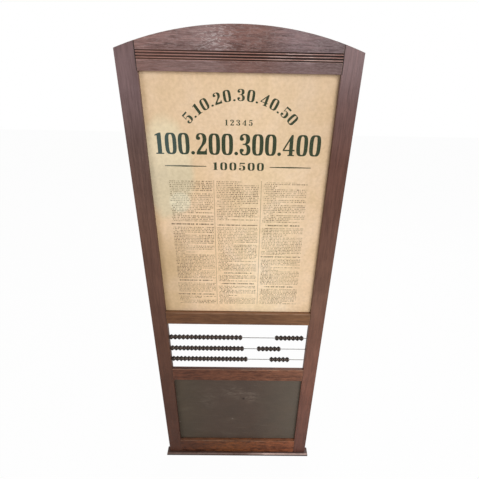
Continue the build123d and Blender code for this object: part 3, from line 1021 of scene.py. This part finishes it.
damp_squares = []
for value, middle, reach in zip((across, above), damp_middle, damp_reach):
    part = maths(tree, "DIVIDE", maths(tree, "SUBTRACT", value, middle), reach)
    damp_squares.append(maths(tree, "MULTIPLY", part, part))
damp = maths(tree, "ADD", *damp_squares)
damp = rescale(tree, maths(tree, "ADD", damp, clouds), 1.75, 1.05)
damp_tint = blend(tree, rescale(tree, above, 1275.0, 1350.0), low_damp_colour, high_damp_colour)
paper_colour = blend(tree, maths(tree, "MULTIPLY", damp, 0.72), paper_colour, damp_tint)
lobe = rescale(tree, nearness(tree, -172, sheet_face, 1201, 46), 0.12, 0.40, 0.0, 0.75)
paper_colour = blend(tree, lobe, paper_colour, lobe_colour)
left_low = product(tree, rescale(tree, across, -75.0, -236.0), rescale(tree, above, 1200.0, 980.0))
paper_colour = blend(tree, left_low, paper_colour, (0.72, 0.70, 0.64, 1), "MULTIPLY")
from_pale = maths(tree, "ABSOLUTE", maths(tree, "SUBTRACT", across, 80.0))
pale_middle = rescale(tree, from_pale, 150.0, 40.0)
pale_middle = product(tree, pale_middle, rescale(tree, above, 1450.0, 1000.0, 0.2, 1.0))
paper_colour = blend(tree, pale_middle, paper_colour, (1.06, 1.13, 1.17, 1), "MULTIPLY")
right_top = product(tree, rescale(tree, across, 60.0, 190.0), rescale(tree, above, 1310.0, 1400.0))
paper_colour = blend(tree, right_top, paper_colour, (0.95, 0.94, 0.92, 1), "MULTIPLY")


# %% [markdown]
# ### Foxing and creases
#
# Close up, old paper is mottled, with a few rusty spots and with faint upright creases from having been
# rolled. They're three noises at three scales, laid over the stains. The last step makes the lower part
# of the sheet paler than the upper.

# %% Foxing and creases
mottle = noise(tree, place, 110.0, 3.0, 0.6)
mottle_tone = ramp(tree, mottle, [(0.35, (0.94, 0.93, 0.92, 1)), (0.65, (1.05, 1.05, 1.05, 1))])
paper_colour = tinted(tree, paper_colour, mottle_tone)
foxing = rescale(tree, noise(tree, place, 70.0, 4.0, 0.7), 0.66, 0.74)
paper_colour = blend(tree, maths(tree, "MULTIPLY", foxing, 0.35), paper_colour, paint(172, 130, 88))
creases = noise(tree, object_place(tree, stretch=(1, 1, 0.05)), 40.0, 2.0)
crease_tone = ramp(tree, creases, [(0.35, (0.985, 0.985, 0.985, 1)), (0.6, (1.01, 1.01, 1.01, 1))])
paper_colour = tinted(tree, paper_colour, crease_tone)
bleached = rescale(tree, above, 1500.0, 820.0, 0.97, 1.15)
bleached = product(tree, bleached, rescale(tree, across, 20.0, 240.0, 1.0, 0.95))
paper_colour = tinted(tree, paper_colour, grey_of(tree, bleached))


# %% [markdown]
# ### Small print
#
# Each line's number feeds a noise that runs along x, so every line has its own letters, and a slower
# noise of the same kind leaves gaps between the words. White noise of the line number says how far a
# line runs, so that paragraphs end short, and where it starts, so that some are indented.

# %% Small print
print_colour = paint(78, 60, 38)

line_count = maths(tree, "DIVIDE", above, line_pitch)
line_number = maths(tree, "FLOOR", line_count)
on_line = between(tree, maths(tree, "FRACT", line_count), 0.18, 0.72)
line_place = add_node(tree, "CombineXYZ", {"X": apart.outputs["X"], "Y": line_number}).outputs[0]
letters = rescale(tree, noise(tree, line_place, 330.0, 2.0), 0.42, 0.56)
words = rescale(tree, noise(tree, line_place, 170.0, 1.0), 0.40, 0.45)
blocks = []
for number, ((left, right), spans) in enumerate(columns.items()):
    column_line = maths(tree, "ADD", line_number, number * 31.0)
    chance = add_node(tree, "TexWhiteNoise", {"W": column_line}, noise_dimensions="1D").outputs["Value"]
    full_line = right - left
    line_end = rescale(tree, chance, 0.74, 1.0, right, left + 0.25 * full_line)
    line_start = rescale(tree, chance, 0.10, 0.04, left, left + 0.10 * full_line)
    past_start = maths(tree, "GREATER_THAN", across, line_start)
    in_line = product(tree, past_start, maths(tree, "LESS_THAN", across, line_end))
    in_spans = either(tree, [between(tree, above, low, high) for low, high in spans])
    blocks.append(product(tree, in_line, in_spans))
faded_print = rescale(tree, noise(tree, place, 16.0, 2.0), 0.35, 0.65, 0.62, 1.0)
small_print = product(tree, letters, words, either(tree, blocks), on_line, faded_print)
printed = blend(tree, small_print, paper_colour, print_colour)
print("print blocks", sum(len(spans) for spans in columns.values()))


# %% [markdown]
# ### Headings and gutters
#
# Headings are bolder lines at measured heights, so each is a box of its own with fatter letters in it.
# The gutters between the columns carry thin brown rules. Grime and painted shade darken the sheet where
# it meets the frame.

# %% Headings and gutters
heading_half = 1.9
rule_half = 0.7

heading_places = []
for left, right, middle in headings:
    in_line = between(tree, above, middle - heading_half, middle + heading_half)
    heading_places.append(product(tree, in_line, between(tree, across, left, right)))
bold_letters = rescale(tree, noise(tree, line_place, 340.0, 1.0), 0.42, 0.52)
bold_words = rescale(tree, noise(tree, line_place, 110.0, 1.0), 0.41, 0.45)
heading_print = product(tree, either(tree, heading_places), bold_letters, bold_words)
rules = either(tree, [between(tree, across, x - rule_half, x + rule_half) for x in gutters])
rules = maths(tree, "MULTIPLY", rules, between(tree, above, *gutter_span))
printed = blend(tree, maths(tree, "MULTIPLY", rules, 0.62), printed, paint(88, 66, 50))
printed = blend(tree, maths(tree, "MULTIPLY", heading_print, 0.92), printed, paint(50, 42, 30))
# Grime and painted shade darken the sheet along the frame's edges.
edge_grime_and_shade = rescale(tree, corner_shade(tree, 2.5 * mm), 0.2, 0.7)
grimy_shaded_print = blend(tree, 0.35, printed, paint(110, 80, 50))
feed(tree, shader.inputs["Base Color"], blend(tree, edge_grime_and_shade, grimy_shaded_print, printed))
shader.inputs["Roughness"].default_value = 0.82
shader.inputs["Specular IOR Level"].default_value = 0.2
fibres = noise(tree, place, 1500.0, 2.0)
buckle = maths(tree, "ADD", maths(tree, "MULTIPLY", fibres, 0.08), noise(tree, place, 12.0, 2.0))
feed(tree, shader.inputs["Normal"], bump(tree, buckle, 0.8 * mm, 0.35))
dress(aged_paper, "rules_sheet")
print("paper shader nodes", len(tree.nodes))


# %% [markdown]
# ## The large print
#
# The big lines are set as plain numbers, in the sizes and places that such a bill gives its title: an
# arched line, a small one under its crown, a tall narrow one across the sheet, and a short bold one
# between two rules. Blender's own font is a thin sans, and a bill like this was set in a fat slab
# letter with heavy uprights and hairline curves. So the figures are drawn here, each once, as outlines
# on a grid 1000 high. A filled curve takes them, becomes a mesh a tenth of a millimetre thick, and is
# laid on the sheet.

# %% Green-black ink
ink, tree, shader = start_material("green_black_ink")
ink_wear = noise(tree, object_place(tree), 420.0, 4.0, 0.7)
ink_colour = ramp(
    tree, ink_wear, [(0.34, paint(38, 48, 32)), (0.56, paint(52, 62, 43)), (0.72, paint(98, 100, 70))]
)
ink_across = add_node(tree, "SeparateXYZ", {0: object_place(tree)}).outputs["X"]
faded_blue = rescale(tree, ink_across, -110 * mm, -215 * mm, 0.0, 0.75)
feed(tree, shader.inputs["Base Color"], blend(tree, faded_blue, ink_colour, paint(68, 86, 84)))
feed(tree, shader.inputs["Roughness"], rescale(tree, ink_wear, 0.3, 0.7, 0.5, 0.75))
feed(tree, shader.inputs["Normal"], bump(tree, ink_wear, 0.03 * mm, 0.4))
shader.inputs["Specular IOR Level"].default_value = 0.2
print("ink", ink.name)


# %% [markdown]
# ### Drawing the figures
#
# A figure is one closed outline, or two where it has a hole. Most of its points are corners. Where it
# swells or turns, a point carries a second one that pulls the line towards it, which is all that a
# quadratic curve needs. Noughts and full stops are ovals, and a higher squareness makes their sides
# upright, as in this kind of letter.

# %% Drawing the figures
def oval(middle_x, middle_y, half_width, half_height, squareness=2.6, sides=36):
    """An outline between an ellipse and a box."""
    points = []
    for side in range(sides):
        angle = 2 * pi * side / sides
        pair = (cos(angle), sin(angle))
        across, up = (copysign(abs(part) ** (2 / squareness), part) for part in pair)
        points.append((middle_x + half_width * across, middle_y + half_height * up))
    return points


def outline(*points, steps=6):
    """A closed outline; where a point has four numbers, they're a curve's pull and its end."""
    traced = []
    for point in points:
        end = Vector(point[-2:])
        if len(point) == 2:
            traced.append(end)
            continue
        start, pull = traced[-1], Vector(point[:2])
        for step in range(1, steps + 1):
            share = step / steps
            traced.append(start.lerp(pull, share).lerp(pull.lerp(end, share), share))
    return traced


lower_hook = (
    (20, 315, 100, 315),
    (180, 315, 180, 240),
    (180, 175, 125, 160),
)
figures = {
    ".": (150, [oval(75, 80, 72, 85, 2.0)]),
    "0": (460, [oval(230, 500, 218, 505, 3.4), oval(230, 500, 72, 432, 3.4)]),
    "1": (350, [outline((30, 0), (335, 0), (335, 50), (262, 62), (262, 1000), (195, 1000), (30, 905),
                        (30, 850), (104, 872), (104, 62), (30, 50))]),
    "2": (450, [outline((25, 0), (425, 0), (425, 290), (385, 290), (380, 165, 290, 165), (165, 165),
                        (200, 270, 300, 420), (425, 570, 425, 745), (425, 1010, 215, 1010),
                        (25, 1010, 25, 790), (25, 690, 105, 690), (185, 690, 185, 770),
                        (185, 835, 130, 850), (140, 950, 205, 950), (275, 950, 275, 745),
                        (275, 580, 190, 420), (25, 160, 25, 60))]),
    "3": (450, [outline((25, 790), (25, 1010, 220, 1010), (420, 1010, 420, 760), (420, 575, 305, 525),
                        (440, 470, 440, 265), (440, -10, 220, -10), (20, -10, 20, 220), *lower_hook,
                        (130, 50, 205, 50), (290, 50, 290, 265), (290, 490, 195, 495), (135, 495),
                        (135, 550), (190, 550), (270, 560, 270, 760), (270, 950, 205, 950),
                        (140, 950, 130, 850), (185, 835, 185, 770), (185, 690, 105, 690),
                        (30, 690, 25, 770))]),
    "4": (490, [outline((210, 0), (470, 0), (470, 50), (405, 62), (405, 235), (475, 235), (475, 300),
                        (405, 300), (405, 1000), (335, 1000), (20, 300), (20, 235), (265, 235),
                        (265, 62), (210, 50)),
                outline((85, 300), (265, 300), (265, 700))]),
    "5": (450, [outline((75, 1000), (400, 1000), (400, 850), (115, 850), (115, 575),
                        (165, 640, 235, 640), (435, 640, 435, 315), (435, -10, 210, -10),
                        (20, -10, 20, 220), *lower_hook, (130, 50, 200, 50), (285, 50, 285, 315),
                        (285, 585, 200, 585), (140, 585, 115, 490), (75, 490))]),
}
print("figures drawn", len(figures))


# %% [markdown]
# ### Setting a line
#
# A line is one filled curve. Its figures are spaced by their own widths and a common gap, and scaled to
# the line's measured width and height. For the arched line each figure is turned about the circle's
# middle instead, so that it stays upright on its arc. The curve becomes a mesh and is stood up against
# the sheet, with a hundredth of a millimetre of it sunk in, so that no gap can show.

# %% Setting a line
ink_thickness = 0.1 * mm
ink_lift = 0.4
sheet_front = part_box("rules_sheet")[0].y
ink_place = sheet_front - ink_thickness * ink_lift


def finish_print(line, name):
    """Names a printed piece, inks it and fixes it to the frame."""
    line.name = name
    line.data.materials.clear()
    line.data.materials.append(ink)
    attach(line, "root")


def print_line(name, words, width, line_height, x, z, gap, radius=0.0):
    """A line of figures in millimetres: straight with its foot at (x, z), or round a circle about it."""
    total = sum(figures[word][0] + gap for word in words) - gap
    across, up = width * mm / total, line_height * mm / 1000
    flat = bpy.data.curves.new(name, "CURVE")
    flat.dimensions = "2D"
    flat.fill_mode = "BOTH"
    flat.extrude = ink_thickness / 2
    start = -total / 2
    for word in words:
        figure_width, outlines = figures[word]
        middle = (start + figure_width / 2) * across
        turn, foot = Matrix.Identity(2), Vector((middle, 0))
        if radius:
            turn = Matrix.Rotation(-middle / (radius * mm), 2)
            foot = turn @ Vector((0, radius * mm))
        for points in outlines:
            spline = flat.splines.new("POLY")
            spline.use_cyclic_u = True
            spline.points.add(len(points) - 1)
            for point, (point_x, point_y) in zip(spline.points, points):
                placed = foot + turn @ Vector(((point_x - figure_width / 2) * across, point_y * up))
                point.co = (*placed, 0, 1)
        start += figure_width + gap
    line = bpy.data.objects.new(name, flat)
    bpy.context.scene.collection.objects.link(line)
    select_only(line)
    bpy.ops.object.convert(target="MESH")
    line = bpy.context.object
    bpy.ops.object.mode_set(mode="EDIT")
    bpy.ops.mesh.select_all(action="SELECT")
    bpy.ops.mesh.remove_doubles(threshold=nearly / 10)
    bpy.ops.object.mode_set(mode="OBJECT")
    line.rotation_euler = (pi / 2, 0, 0)
    line.location = (x * mm, ink_place, height(z))
    bpy.ops.object.transform_apply(location=True, rotation=True, scale=True)
    finish_print(line, name)
    print(name, len(line.data.polygons), "faces")


print_line("title_numbers", "100.200.300.400", 450.6, 57.0, -3.3, 1342.6, 34)
print_line("small_numbers", "12345", 73.3, 14.7, -1.5, 1421.0, 230)
print_line("short_numbers", "100500", 143.5, 21.7, -2.3, 1300.0, 120)
print_line("arched_numbers", "5.10.20.30.40.50", 304.0, 28.5, 2.3, 1304.0, 64, 178.0)


# %% [markdown]
# ### Swelled rules
#
# The two rules beside the short line swell in the middle and taper to points. A thin box is enough of
# a start: its ends are pinched in edit mode, and a bevel isn't needed on a strip of ink.

# %% Swelled rules
rule_height = 3.8 * mm
rule_level = 1310
pinched = 0.5
for side, (inner, outer) in ((-1, (91.5, 206)), (1, (85, 200))):
    middle_x = side * (inner + outer) / 2 * mm
    half_length = (outer - inner) / 2 * mm
    bpy.ops.object.select_all(action="DESELECT")
    bpy.ops.mesh.primitive_cube_add(size=1, location=(middle_x, ink_place, height(rule_level)))
    rule = bpy.context.object
    rule.scale = (2 * half_length, ink_thickness, rule_height)
    bpy.ops.object.transform_apply(location=True, rotation=False, scale=True)
    bpy.ops.object.mode_set(mode="EDIT")
    bpy.ops.mesh.select_all(action="SELECT")
    bpy.ops.mesh.bisect(plane_co=(middle_x, 0, 0), plane_no=(1, 0, 0))
    select_parts("verts", lambda vert: abs(abs(vert.co.x - middle_x) - half_length) < nearly)
    bpy.ops.transform.resize(value=(1, 1, pinched))
    bpy.ops.object.mode_set(mode="OBJECT")
    finish_print(rule, "swelled_rule_left" if side < 0 else "swelled_rule_right")
    print(rule.name, outer - inner, "mm")


# %% [markdown]
# ## The slate
#
# The writing panel is natural slate, grey with a brown cast, and it has been written on and wiped for
# a hundred years. Chalk never quite leaves it: it stays as a haze in wide wiping strokes, as a few
# clearer smears where a tally stood, and as hairline scratches. So the colour is a quiet stone first,
# with three layers of chalk over it.

# %% Bare slate
written_slate, tree, shader = start_material("written_slate")
place = object_place(tree)
slate_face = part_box("slate_panel")[0].y / mm
slate_across = maths(tree, "DIVIDE", add_node(tree, "SeparateXYZ", {0: place}).outputs["X"], mm)
slate_colours = [
    (0.0, paint(76, 66, 54)),
    (0.35, paint(79, 65, 56)),
    (0.62, paint(81, 67, 58)),
    (1.0, paint(96, 86, 75)),
]
slate_colour = ramp(tree, share_between(tree, slate_across, -sight_half, sight_half), slate_colours)
stone = noise(tree, place, 11.0, 4.0, 0.6, 0.3)
stone_tone = ramp(tree, stone, [(0.3, (0.93, 0.95, 0.96, 1)), (0.7, (1.07, 1.05, 1.04, 1))])
slate_colour = tinted(tree, slate_colour, stone_tone)
grains = noise(tree, place, 420.0, 3.0, 0.7)
grain_tone = ramp(tree, grains, [(0.3, (0.86, 0.86, 0.86, 1)), (0.7, (1.14, 1.14, 1.14, 1))])
slate_colour = tinted(tree, slate_colour, grain_tone)
print("slate face at", round(slate_face, 1), "mm")


# %% [markdown]
# ### Chalk
#
# Chalk lies on the front alone, so the smears and specks are masked by the way the surface faces. The
# haze follows the wiping hand, at a slight slant. The smears are soft spots at measured places, broken
# up by strokes, since a rubbed tally leaves streaks and not clouds. A few hairline scratches and specks
# follow, and painted shade darkens the slate in the frame's corners.

# %% Chalk
haze_colour = paint(140, 130, 116)
smear_colour = paint(164, 148, 134)
scratch_colour = paint(150, 140, 126)
chip_colour = paint(36, 28, 24)
speck_colour = paint(170, 160, 148)

wiping_place = object_place(tree, (0.3, 0, 0.7), (0.6, 1, 1.4), (0, radians(12), 0))
wiping = noise(tree, wiping_place, 14.0, 4.0, 0.6, 0.5)
slate_colour = blend(tree, rescale(tree, wiping, 0.50, 0.78, 0.0, 0.10), slate_colour, haze_colour)
smears = [
    maths(tree, "MULTIPLY", nearness(tree, x, slate_face, z, reach), weight)
    for x, z, reach, weight in (
        (-34, 390, 56, 0.8),
        (4, 378, 52, 0.9),
        (50, 358, 56, 0.9),
        (-112, 372, 60, 0.4),
        (-122, 322, 56, 0.35),
        (-24, 222, 26, 0.2),
    )
]
stroke_place = object_place(tree, (1.1, 0, 2.6), (0.45, 1, 1.3), (0, radians(-18), 0))
strokes = noise(tree, stroke_place, 62.0, 4.0, 0.65, 0.8)
slate_facing = add_node(tree, "SeparateXYZ", {0: add_node(tree, "NewGeometry").outputs["Normal"]})
slate_front = rescale(tree, slate_facing.outputs["Y"], 0.0, -0.9)
smear = product(tree, either(tree, smears), rescale(tree, strokes, 0.38, 0.74), slate_front, 0.30)
slate_colour = blend(tree, smear, slate_colour, smear_colour)
scratch_place = object_place(tree, (0.4, 0, 0.9), (0.06, 1, 1), (0, radians(64), 0))
scratches = rescale(tree, noise(tree, scratch_place, 230.0, 2.0, 0.5), 0.66, 0.72, 0.0, 0.07)
slate_colour = blend(tree, scratches, slate_colour, scratch_colour)
chip = nearness(tree, 23, slate_face, 348, 9)
slate_colour = blend(tree, maths(tree, "MULTIPLY", chip, 0.85), slate_colour, chip_colour)
specks = [nearness(tree, x, slate_face, z, reach) for x, z, reach in ((-22, 222, 6), (-245, 199, 5))]
specks = product(tree, either(tree, specks), slate_front, 0.26)
slate_colour = blend(tree, specks, slate_colour, speck_colour)
# Painted shade darkens the slate in the corners of the frame.
slate_shade = rescale(tree, corner_shade(tree, 5 * mm), 0.25, 0.85)
shaded_slate = blend(tree, 0.5, slate_colour, paint(34, 26, 20))
feed(tree, shader.inputs["Base Color"], blend(tree, slate_shade, shaded_slate, slate_colour))
feed(tree, shader.inputs["Roughness"], rescale(tree, wiping, 0.3, 0.8, 0.55, 0.85))
shader.inputs["Specular IOR Level"].default_value = 0.22
relief = maths(tree, "ADD", maths(tree, "MULTIPLY", grains, 0.4), stone)
feed(tree, shader.inputs["Normal"], bump(tree, relief, 0.3 * mm, 0.4))
dress(written_slate, "slate_panel")
print("slate shader nodes", len(tree.nodes))


# %% [markdown]
# ## The back
#
# Nobody stained what faced the wall. The board behind the sheet is bare deal, gone brown, with its
# grain upright. It's made like the oak, with softer and wider bands, since pine has no open pores.

# %% Bare deal
bare_deal, tree, shader = start_material("bare_deal")
deal_grain = object_place(tree, (2, 5, 1), (1, 1, 0.06))
rings = noise(tree, deal_grain, 34.0, 4.0, 0.55, 0.8)
fine = noise(tree, deal_grain, 420.0, 3.0, 0.6)
tone = maths(tree, "ADD", maths(tree, "MULTIPLY", rings, 0.75), maths(tree, "MULTIPLY", fine, 0.25))
deal_colour = ramp(
    tree, tone, [(0.36, paint(112, 80, 52)), (0.5, paint(148, 112, 76)), (0.64, paint(170, 134, 94))]
)
dust = rescale(tree, noise(tree, object_place(tree), 7.0, 4.0), 0.45, 0.75, 0.0, 0.35)
feed(tree, shader.inputs["Base Color"], blend(tree, dust, deal_colour, paint(120, 108, 94)))
feed(tree, shader.inputs["Roughness"], rescale(tree, fine, 0.3, 0.7, 0.6, 0.8))
shader.inputs["Specular IOR Level"].default_value = 0.25
feed(tree, shader.inputs["Normal"], bump(tree, fine, 0.2 * mm, 0.5))
dress(bare_deal, "sheet_backboard")
print("deal shader nodes", len(tree.nodes))
